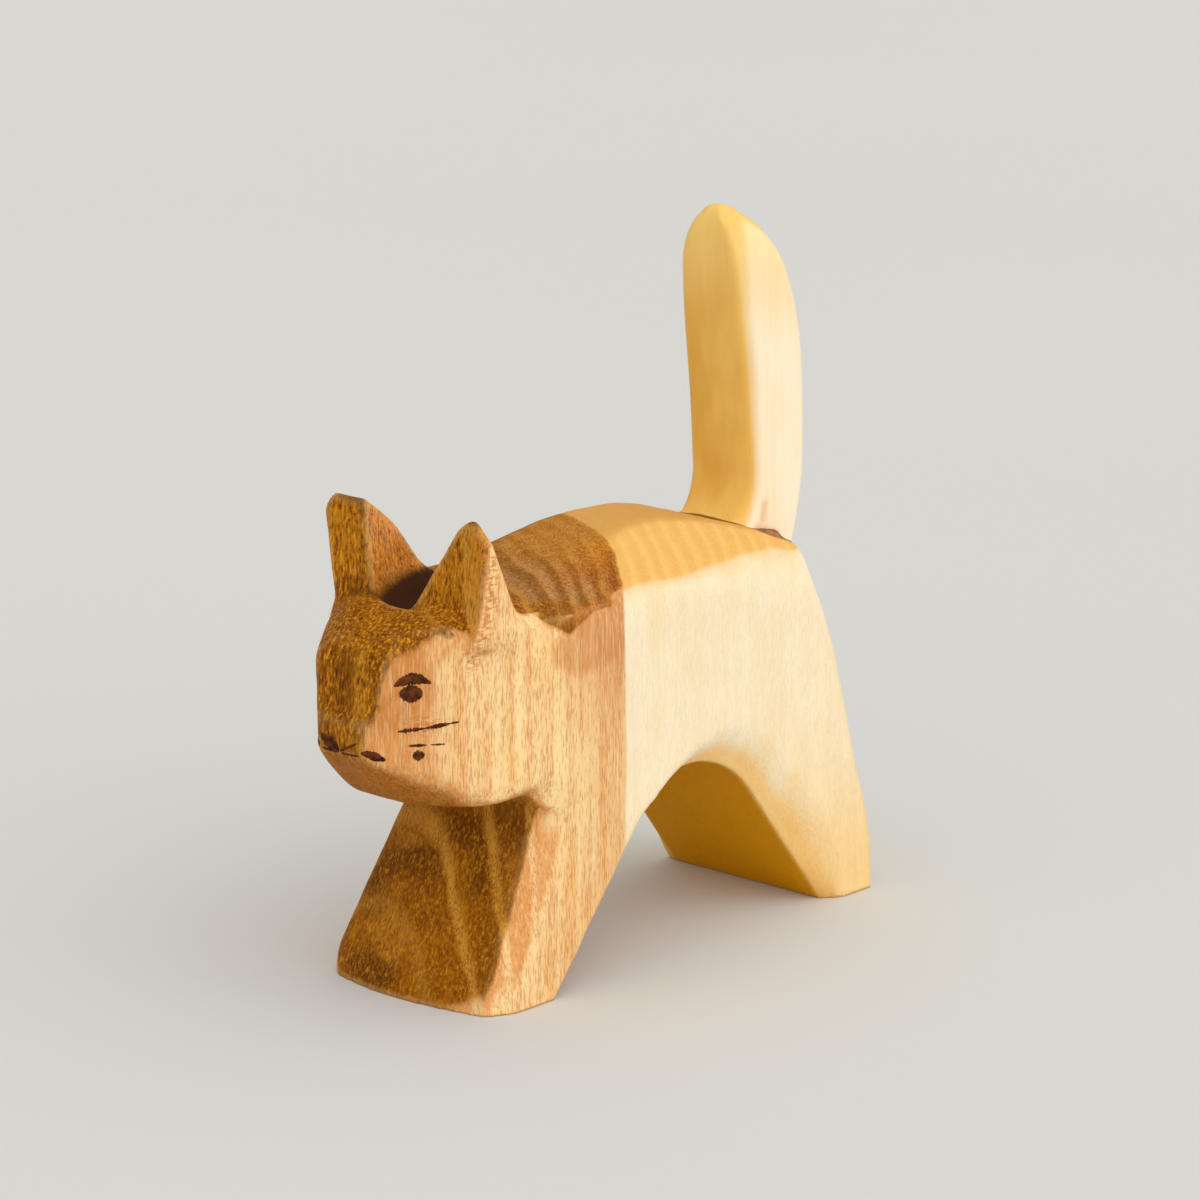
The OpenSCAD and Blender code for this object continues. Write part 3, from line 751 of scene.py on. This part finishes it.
# %% Eyes, whiskers, nose and mouth
lid_path = [(-1.75, 0.95), (-0.9, 1.42), (0.1, 1.72), (1.0, 1.6), (2.15, 1.1)]
lip_path = [(-5.2, -5.95), (-4.3, -6.0), (-2.5, -6.7)]
marks, nose_strokes, mouth_strokes = [], [], []
for side, label in ((1, "left"), (-1, "right")):
    flip = np.array([side, 1, 1])
    where = (eye * flip, cheek_u * flip, cheek_v)
    marks.append(drawn(f"{label}_pupil_stain", [
        stroke([(-1.2, 0.2), (1.2, 0.12)], [1.5, 1.8, 1.65], *where, ragged=0.1),
    ], f"{label}_pupil"))
    marks.append(drawn(f"{label}_lid_stain", [
        stroke(lid_path, [0.6, 1.1, 1.25, 1.05, 0.6], *where, ragged=0.1),
    ], f"{label}_eyelid"))
    marks.append(drawn(f"{label}_whisker_stain", [
        stroke([(-1.4, -3.7), (1.5, -3.45)], [0.3, 0.42, 0.36, 0.3], *where, ragged=0.3),
        stroke([(1.3, -3.46), (4.1, -3.15)], [0.3, 0.45, 0.42, 0.3], *where, ragged=0.2),
        stroke([(4.0, -3.15), (5.0, -3.06)], [0.2, 0.25], *where, ragged=0.2),
        stroke([(-0.4, -5.2), (1.6, -5.2)], [0.2, 0.3, 0.2], *where, ragged=0.3),
        stroke([(1.9, -5.2), (3.5, -5.25)], [0.15, 0.22, 0.15], *where, ragged=0.3),
        stroke([(0.1, -6.3), (1.35, -6.2)], [0.9, 1.1, 0.7], *where, ragged=0.2),
    ], f"{label}_whiskers"))
for side in (1, -1):
    flip = np.array([side, 1, 1])
    on_pad, on_cheek = (pad * flip, pad_u * flip, cheek_v), (eye * flip, cheek_u * flip, cheek_v)
    wide = [1.0, 1.45, 1.2] if side < 0 else [0.16, 0.3, 0.24]
    nose_strokes.append(stroke([(2.6, -0.9), (0.0, -2.2)], wide, *on_pad, ragged=0.16))
    mouth_strokes.append(stroke([(0.2, -2.35), (2.6, -2.3)], [0.3, 0.25, 0.3], *on_pad, ragged=0.2))
    mouth_strokes.append(stroke(lip_path, [0.4, 0.7, 1.0, 0.9], *on_cheek))
marks.append(drawn("nose_stain", nose_strokes, "nose_mark"))
marks.append(drawn("mouth_stain", mouth_strokes, "mouth_mark"))
print("marks:", len(marks), "pieces")

# %% [markdown]
# ## Nodes in plain words
# A wood finish needs a few dozen nodes. Written out one by one they hide the idea, so each kind of node
# gets a short function that takes sockets or values and gives back a socket.

# %% Node helpers
def feed(tree, socket, value):
    """Links a socket, or sets a plain value."""
    if isinstance(value, bpy.types.NodeSocket):
        tree.links.new(value, socket)
    else:
        socket.default_value = value


def math(tree, operation, a, b=0.0, clamp=False):
    """One operation on two numbers, kept between 0 and 1 if it is clamped."""
    node = tree.nodes.new("ShaderNodeMath")
    node.operation = operation
    node.use_clamp = clamp
    feed(tree, node.inputs[0], a)
    feed(tree, node.inputs[1], b)
    return node.outputs[0]


def times(tree, a, b):
    """The product of two numbers, which keeps a share only where both are high."""
    return math(tree, "MULTIPLY", a, b)


def vectors(tree, operation, a, b):
    """One operation on two vectors."""
    node = tree.nodes.new("ShaderNodeVectorMath")
    node.operation = operation
    feed(tree, node.inputs[0], a)
    feed(tree, node.inputs[1], b)
    return node.outputs["Vector"]


def noise(tree, place, stretch, detail=2.0, roughness=0.5):
    """Noise with a cell of 1 over the stretch, in millimetres, along each axis.
    Gives a value and a colour."""
    node = tree.nodes.new("ShaderNodeTexNoise")
    feed(tree, node.inputs["Vector"], vectors(tree, "MULTIPLY", place, stretch))
    node.inputs["Scale"].default_value = 1.0
    node.inputs["Detail"].default_value = detail
    node.inputs["Roughness"].default_value = roughness
    return node.outputs["Fac"], node.outputs["Color"]


def step(tree, value, low, high, to_low=0.0, to_high=1.0):
    """A smooth step from low to high, scaled to the two given values."""
    node = tree.nodes.new("ShaderNodeMapRange")
    node.interpolation_type = "SMOOTHSTEP"
    keys = ("Value", "From Min", "From Max", "To Min", "To Max")
    for key, item in zip(keys, (value, low, high, to_low, to_high)):
        feed(tree, node.inputs[key], item)
    return node.outputs["Result"]


def blend(tree, share, a, b):
    """a where the share is 0 and b where it is 1."""
    node = tree.nodes.new("ShaderNodeMix")
    node.data_type = "RGBA"
    feed(tree, node.inputs["Factor"], share)
    feed(tree, node.inputs["A"], a)
    feed(tree, node.inputs["B"], b)
    return node.outputs["Result"]


def attribute(tree, name):
    """The number that each point of the piece keeps under this name."""
    node = tree.nodes.new("ShaderNodeAttribute")
    node.attribute_name = name
    return node.outputs["Fac"]


def wash(tree, name, strength, base, tint):
    """The base with a tint laid over it where the attribute is high, up to the strength."""
    return blend(tree, times(tree, attribute(tree, name), strength), base, tint)


def colour(red, green, blue):
    """A colour given as 0 to 255 on the screen, made linear: ((c + 0.055) / 1.055)^2.4."""
    c = np.array([red, green, blue]) / 255
    linear = np.where(c < 0.04045, c / 12.92, ((c + 0.055) / 1.055) ** 2.4)
    return (*linear.tolist(), 1.0)


# %% Materials from start to finish
def start_material(name):
    """A material with its shader, and the Object coordinates in millimetres."""
    material = bpy.data.materials.new(name)
    material.use_nodes = True
    tree = material.node_tree
    place = tree.nodes.new("ShaderNodeTexCoord").outputs["Object"]
    place = vectors(tree, "MULTIPLY", place, (1000, 1000, 1000))
    return material, tree, tree.nodes["Principled BSDF"], place


def finish(tree, shader, base, rough, specular=0.5):
    """Colour, roughness and how strongly the surface mirrors the room."""
    feed(tree, shader.inputs["Base Color"], base)
    feed(tree, shader.inputs["Roughness"], rough)
    shader.inputs["Specular IOR Level"].default_value = specular


def raise_fibres(tree, shader, height, strength, distance):
    """Lets the light catch fibres and pores, far too fine for the mesh, as a bump in metres."""
    bump = tree.nodes.new("ShaderNodeBump")
    bump.inputs["Strength"].default_value = strength
    bump.inputs["Distance"].default_value = distance
    feed(tree, bump.inputs["Height"], height)
    feed(tree, shader.inputs["Normal"], bump.outputs["Normal"])


# %% [markdown]
# ## Wood that runs through the block
# The grain stands upright, so the growth rings are upright sheets that the cuts meet at many angles.
# A picture of wood wrapped round the body would break at every edge. A pattern in space doesn't: the
# ring number comes from y + 0.37 x + 0.0145 x^2, bent a little by noise, and the same number tells the
# brown heartwood from the cream sapwood. Behind the neck the rings lie closer together.

# %% Rings of the board
def rings_of(tree, place):
    """The ring distance y + 0.37 x + 0.0145 x^2 in millimetres, pushed about by slow noise."""
    _, slow = noise(tree, place, (0.09, 0.09, 0.02), 2)
    shift = vectors(tree, "MULTIPLY", vectors(tree, "SUBTRACT", slow, (0.5, 0.5, 0.5)), (2.2, 2.2, 0))
    _, quick = noise(tree, place, (0.6, 0.6, 0.05), 2)
    shake = vectors(tree, "MULTIPLY", vectors(tree, "SUBTRACT", quick, (0.5, 0.5, 0.5)), (0.7, 0.7, 0))
    split = tree.nodes.new("ShaderNodeSeparateXYZ")
    feed(tree, split.inputs[0], vectors(tree, "ADD", place, vectors(tree, "ADD", shift, shake)))
    x, y = split.outputs["X"], split.outputs["Y"]
    bow = times(tree, times(tree, x, x), 0.0145)
    return math(tree, "ADD", y, math(tree, "ADD", times(tree, x, 0.37), bow))


ring_rate, neck_y, extra_rate, ring_start = 0.244, -9.0, 0.173, 100.206
body_material, tree, shader, place = start_material("oiled_board")
depth = rings_of(tree, place)
past_neck = math(tree, "MAXIMUM", math(tree, "ADD", depth, -neck_y), 0.0)
ring_number = math(tree, "ADD", times(tree, depth, ring_rate), times(tree, past_neck, extra_rate))
saw = math(tree, "FRACT", math(tree, "ADD", ring_number, ring_start))
stripe = times(tree, step(tree, saw, 0.0, 0.25), step(tree, saw, 0.8, 0.5))
vein = times(tree, step(tree, saw, 0.0, 0.16), step(tree, saw, 0.40, 0.2))
band = times(tree, step(tree, saw, 0.0, 0.5), step(tree, saw, 1.0, 0.7))
sap = step(tree, depth, 1.0, 1.5)
oil_and_shade, top, under = (attribute(tree, name) for name in ("oil_and_shade", "top", "under"))
split_place = tree.nodes.new("ShaderNodeSeparateXYZ")
feed(tree, split_place.inputs[0], place)
up = split_place.outputs["Z"]
print("rings:", len(tree.nodes), "nodes")

# %% [markdown]
# ## Fibres, grit and pores
# Close up, the wood is far from smooth. Fibres run upright, grit of cut fibre ends glints on the cuts
# across the grain, and open pores stand in rows of short dark dashes. They could be hair-thin geometry,
# but at a tenth of a millimetre nobody would see it. So each is one noise, stretched along the grain. The
# glints of the grit and the sheen of the light fibres are painted highlights in the colour.

# %% Fibres, grit and pores
fibre, _ = noise(tree, place, (4.2, 4.2, 0.3), 2, 0.6)
grit, _ = noise(tree, place, (2.9, 2.9, 1.0), 3, 0.66)
patch, _ = noise(tree, place, (0.22, 0.22, 0.07), 2)
pore_field, _ = noise(tree, place, (6.8, 6.8, 0.85), 2, 0.55)
row_field, _ = noise(tree, place, (0.9, 0.9, 0.03), 2)
in_rows = step(tree, row_field, 0.3, 0.7, -0.06, 0.06)
pore = step(tree, math(tree, "ADD", pore_field, in_rows), 0.48, 0.66)
fleck_field, _ = noise(tree, place, (1.1, 1.1, 3.0), 2)
fleck = step(tree, fleck_field, 0.48, 0.58)
streak = step(tree, row_field, 0.35, 0.65)
glint = step(tree, grit, 0.5, 0.68)
dull = step(tree, grit, 0.5, 0.32)
soft_patch = step(tree, patch, 0.3, 0.7)
print("fibres, grit and pores:", len(tree.nodes), "nodes")

# %% [markdown]
# ## Heartwood
# The front half of the board is heartwood. On the planed sides it is pale and streaked, and on every cut
# across the grain it drinks the oil and turns deep brown, deepened by painted shade on the cuts turned from
# the lamp. One colour ramp could not hold both, so the pale and the deep wood are mixed apart and then
# chosen by the share of oil and painted shade.

# %% Pale and deep heartwood
# The share of oil and painted shade picks pale or deep heartwood.
heart_tone = step(tree, oil_and_shade, 0.45, 0.8)
heart_pale = blend(tree, soft_patch, colour(255, 226, 166), colour(255, 212, 144))
heart_pale = blend(tree, times(tree, streak, 0.5), heart_pale, colour(244, 174, 104))
heart_pale = blend(tree, step(tree, oil_and_shade, 0.16, 0.42), heart_pale, colour(230, 158, 88))
heart_pale = wash(tree, "blush", 0.85, heart_pale, colour(210, 132, 64))
heart_deep = blend(tree, soft_patch, colour(166, 98, 8), colour(136, 74, 2))
# Painted shade and painted light on the chest, the bridge and the nose's pad.
heart_deep = wash(tree, "shade", 0.8, heart_deep, colour(94, 48, 1))
heart_deep = wash(tree, "painted_light", 0.75, heart_deep, colour(194, 126, 34))
heart_top = blend(tree, stripe, colour(150, 100, 46), colour(202, 152, 98))
heart_rear = blend(tree, stripe, colour(160, 84, 26), colour(186, 110, 46))
heart_rear = blend(tree, top, heart_rear, heart_top)
olive = blend(tree, stripe, colour(134, 80, 10), colour(158, 102, 30))
olive_share = times(tree, attribute(tree, "ahead"), step(tree, depth, 0.0, -9.0, 0.6, 1.0))
heart_rear = blend(tree, olive_share, heart_rear, olive)
rear = step(tree, depth, -18.0, -8.0)
heart_deep = blend(tree, times(tree, rear, 0.9), heart_deep, heart_rear)
print("heartwood:", len(tree.nodes), "nodes")

# %% Ears, grit and veins of the heartwood
inside_ear = blend(tree, step(tree, up, 44.5, 48.5), colour(212, 126, 54), colour(240, 156, 94))
ear_tone = blend(tree, attribute(tree, "inner"), colour(202, 128, 24), inside_ear)
heart_deep = blend(tree, step(tree, up, 42.0, 44.0, 0.0, 0.75), heart_deep, ear_tone)
coarse = times(tree, step(tree, rear, 0.0, 1.0, 0.95, 0.5), step(tree, up, 20.0, 26.0, 0.5, 1.0))
dark_grit = blend(tree, rear, colour(76, 36, 0), colour(112, 66, 22))
heart_deep = blend(tree, times(tree, dull, coarse), heart_deep, dark_grit)
# Painted highlight: the light grit is a glint on the cut fibre ends.
grit_and_glint = blend(tree, rear, colour(232, 158, 34), colour(206, 150, 90))
heart_deep = blend(tree, times(tree, glint, coarse), heart_deep, grit_and_glint)
heart = blend(tree, heart_tone, heart_pale, heart_deep)
vein_tone = blend(tree, heart_tone, colour(253, 216, 154), colour(210, 146, 54))
vein_share = step(tree, depth, -27.0, -20.0, 0.12, 0.8)
vein_share = times(tree, vein_share, step(tree, depth, -14.0, -8.0, 1.0, 0.35))
heart = blend(tree, times(tree, vein, vein_share), heart, vein_tone)
# Painted shade on downward faces, such as under the jaw.
heart = blend(tree, times(tree, under, 0.7), heart, colour(190, 118, 48))
# Painted shade down the bridge.
heart = wash(tree, "bridge_shade", 0.55, heart, colour(86, 40, 2))
border = times(tree, step(tree, depth, -11.0, 0.5), step(tree, heart_tone, 0.0, 1.0, 0.75, 0.0))
border = times(tree, border, step(tree, up, 24.0, 37.0, 0.45, 1.0))
heart = blend(tree, border, heart, colour(214, 140, 84))
print("ears, grit and veins:", len(tree.nodes), "nodes")

# %% [markdown]
# ## Sapwood
# The rear half is the young wood under the bark: cream on the flank, honey on the back, and deep yellow
# where the saw opened the arch, partly oil in the end grain and partly painted shade on faces turned down.
# It has almost no pores. It could be the same finish with other colours, but it darkens towards the heel
# and on the arch's bevel, whose honey is partly painted shade, so it gets a mix of its own.

# %% Sapwood
# The oil share picks the deep sapwood, and with it painted shade on faces ahead.
sap_tone = step(tree, oil_and_shade, 0.06, 0.62)
sap_pale = blend(tree, soft_patch, colour(254, 236, 200), colour(252, 228, 184))
sap_pale = blend(tree, step(tree, up, 2.0, 20.0, 0.7, 0.0), sap_pale, colour(252, 206, 128))
# Honey on the arch's bevel: partly oil and partly painted shade.
uneven = math(tree, "ADD", attribute(tree, "glow"), step(tree, patch, 0.3, 0.7, -0.3, 0.1))
sap_pale = blend(tree, step(tree, uneven, 0.0, 1.0, 0.0, 0.8), sap_pale, colour(252, 200, 116))
sap_deep = blend(tree, band, colour(246, 194, 110), colour(240, 184, 100))
sap_deep = blend(tree, times(tree, top, 0.85), sap_deep, colour(218, 160, 78))
sapwood = blend(tree, sap_tone, sap_pale, sap_deep)
# Downward faces of the arch, less the bevel, go deep yellow: oil in the end grain and painted shade.
arch_oil_and_shade = math(tree, "SUBTRACT", under, attribute(tree, "bevel"), True)
sapwood = blend(tree, arch_oil_and_shade, sapwood, colour(226, 158, 8))
base = blend(tree, sap, heart, sapwood)
print("sapwood:", len(tree.nodes), "nodes")

# %% [markdown]
# ## Marks over both, and the finish
# Pores, torn flecks, light fibres with a painted sheen, worn edges, and scorched places with the painted
# shade of the groove lie over whatever wood is under them, so they are laid on last, one over the other, as
# a painter glazes. Oil leaves the wood almost without shine, so the surface hardly mirrors the room.

# %% Marks over both, and the finish
pore_share = times(tree, pore, step(tree, heart_tone, 0.0, 1.0, 0.75, 0.6))
pore_share = times(tree, pore_share, step(tree, sap, 0.0, 1.0, 1.0, 0.05))
pore_tone = blend(tree, heart_tone, colour(216, 140, 72), colour(106, 54, 3))
base = blend(tree, pore_share, base, pore_tone)
base = blend(tree, times(tree, fleck, attribute(tree, "torn")), base, colour(210, 124, 60))
# Light fibres: grain with a painted sheen over it.
fibre_and_sheen_share = times(tree, step(tree, fibre, 0.45, 0.75), step(tree, sap, 0.0, 1.0, 0.4, 0.08))
fibre_and_sheen_tone = blend(tree, heart_tone, colour(255, 232, 180), colour(206, 136, 26))
base = blend(tree, fibre_and_sheen_share, base, fibre_and_sheen_tone)
base = wash(tree, "worn", 0.22, base, colour(246, 200, 132))
# Scorched places and the painted shade in the groove go near black.
burnt_and_shaded = math(tree, "ADD", attribute(tree, "scorch_and_shade"), step(tree, grit, 0.3, 0.7, -0.15, 0.15))
base = blend(tree, step(tree, burnt_and_shaded, 0.1, 0.95), base, colour(58, 29, 7))
finish(tree, shader, base, step(tree, fibre, 0.3, 0.7, 0.5, 0.66), 0.05)
sunk_pores = math(tree, "SUBTRACT", grit, times(tree, pore, 0.6))
raise_fibres(tree, shader, math(tree, "ADD", fibre, sunk_pores), 0.5, 0.00012)
body.data.materials.append(body_material)
print("body wood:", len(tree.nodes), "nodes")

# %% [markdown]
# ## The tail's wood
# The tail is cut from a stick of plain sapwood with no heart in it. It could share the body's finish, but
# the rings of the board would then run through it. So it has a simpler one: pale sides, honey on the cuts
# and the front, partly oil and partly painted shade on faces turned from the lamp, warmer towards the tip,
# and a smear of glue above its foot.

# %% Tail wood
tail_material, tree, shader, place = start_material("oiled_stick")
fibre, _ = noise(tree, place, (1.6, 1.6, 0.05), 3, 0.6)
patch, _ = noise(tree, place, (0.25, 0.25, 0.10), 2)
soft_patch = step(tree, patch, 0.3, 0.7)
pale = blend(tree, soft_patch, colour(255, 240, 212), colour(255, 235, 198))
deep = blend(tree, soft_patch, colour(246, 198, 100), colour(232, 176, 72))
# The oil share picks honey: oil, and painted shade on faces ahead.
base = blend(tree, step(tree, attribute(tree, "oil_and_shade"), 0.15, 0.8), pale, deep)
split_place = tree.nodes.new("ShaderNodeSeparateXYZ")
feed(tree, split_place.inputs[0], place)
near_tip = step(tree, split_place.outputs["Z"], 58.0, 73.0, 0.0, 0.6)
base = blend(tree, near_tip, base, colour(255, 214, 124))
base = blend(tree, times(tree, step(tree, fibre, 0.4, 0.7), 0.09), base, colour(222, 164, 80))
base = wash(tree, "smear", 0.5, base, colour(222, 150, 92))
finish(tree, shader, base, step(tree, fibre, 0.3, 0.7, 0.5, 0.62), 0.2)
raise_fibres(tree, shader, fibre, 0.25, 0.0001)
tail.data.materials.append(tail_material)
print("tail wood:", len(tree.nodes), "nodes")

# %% [markdown]
# ## Dowel, glue and stain
# The dowel is hidden in the joint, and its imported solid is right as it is, so it only gets plain wood.
# Dried glue is brown and a little shiny. The stain of the face is dark and dry, and lies unevenly. Flat
# colours would do from afar, but a slow noise keeps them from looking printed.

# %% Dowel, glue and stain
dowel_material, tree, shader, place = start_material("plain_dowel")
fibre, _ = noise(tree, place, (2.0, 2.0, 0.1), 3, 0.6)
base = blend(tree, fibre, colour(226, 196, 148), colour(196, 158, 104))
finish(tree, shader, base, step(tree, fibre, 0.3, 0.7, 0.55, 0.7))
dowel = frame["nodes"]["tail_dowel"]
dowel.data.materials.clear()
dowel.data.materials.append(dowel_material)

glue_material, tree, shader, place = start_material("dried_glue")
patch, _ = noise(tree, place, (0.5, 0.5, 0.5), 3)
base = blend(tree, step(tree, patch, 0.35, 0.65), colour(126, 74, 24), colour(180, 116, 64))
finish(tree, shader, base, step(tree, patch, 0.3, 0.7, 0.3, 0.5))
glue.data.materials.append(glue_material)

stain_material, tree, shader, place = start_material("dark_stain")
patch, _ = noise(tree, place, (1.6, 1.6, 1.6), 3)
base = blend(tree, step(tree, patch, 0.35, 0.7), colour(58, 23, 5), colour(112, 56, 20))
finish(tree, shader, base, step(tree, patch, 0.3, 0.7, 0.5, 0.65), 0.1)
for mark in marks:
    mark.data.materials.append(stain_material)
print("stain on", len(marks), "pieces")

# %% [markdown]
# ## Floor
# The photograph has a plain pale ground with no horizon. A curved backdrop is the usual way, but seen from
# this height a large flat floor fills the picture by itself.

# %% Floor
floor_half = 6
floor_corners = [(x, y, 0) for x, y in ((-1, -1), (1, -1), (1, 1), (-1, 1))]
floor_mesh = bpy.data.meshes.new("floor")
floor_mesh.from_pydata([(floor_half * x, floor_half * y, z) for x, y, z in floor_corners], [], [(0, 1, 2, 3)])
floor = bpy.data.objects.new("floor", floor_mesh)
bpy.context.scene.collection.objects.link(floor)
floor_material, tree, shader, place = start_material("studio_paper")
cloud, _ = noise(tree, place, (0.004, 0.004, 0.004), 2)
finish(tree, shader, blend(tree, cloud, colour(213, 212, 206), colour(216, 215, 210)), 0.9, 0.1)
floor.data.materials.append(floor_material)
print("floor:", 2 * floor_half, "m wide")

# %% [markdown]
# ## Light
# The figure is lit so softly that the shadows hardly show. An area lamp would fall off across the floor.
# So most of the light is a sky that is brighter towards the cat's left, as a white room with a window is,
# and a weak sun with a very wide disc gives the faces their differences.

# %% Light
bpy.context.scene.view_settings.view_transform = "Standard"
sky_low, sky_high, sun_energy, sun_disc = 0.58, 1.13, 0.55, np.radians(60)
sky_turn, sky_tip = np.radians([82, 40])
aim = np.array([np.sin(sky_turn) * np.cos(sky_tip), -np.cos(sky_turn) * np.cos(sky_tip), np.sin(sky_tip)])
world = bpy.data.worlds.new("studio")
bpy.context.scene.world = world
world.use_nodes = True
tree = world.node_tree
facing = tree.nodes.new("ShaderNodeVectorMath")
facing.operation = "DOT_PRODUCT"
feed(tree, facing.inputs[0], tree.nodes.new("ShaderNodeTexCoord").outputs["Generated"])
facing.inputs[1].default_value = aim.tolist()
glow = step(tree, facing.outputs["Value"], -0.3, 1.0, sky_low, sky_high)
feed(tree, tree.nodes["Background"].inputs["Strength"], glow)
tree.nodes["Background"].inputs["Color"].default_value = (1, 1, 1, 1)

lamp = bpy.data.lights.new("window", "SUN")
lamp.energy = sun_energy
lamp.angle = sun_disc
window = bpy.data.objects.new("window", lamp)
level_way = np.cross([0, 0, 1], aim)
level_way = level_way / np.linalg.norm(level_way)
spin = np.eye(4)
spin[:3, :3] = np.stack([level_way, np.cross(aim, level_way), aim], 1)
spin[:3, 3] = aim * 0.6
window.matrix_world = Matrix(spin.tolist())
bpy.context.scene.collection.objects.link(window)
print("light from", np.round(aim, 2))
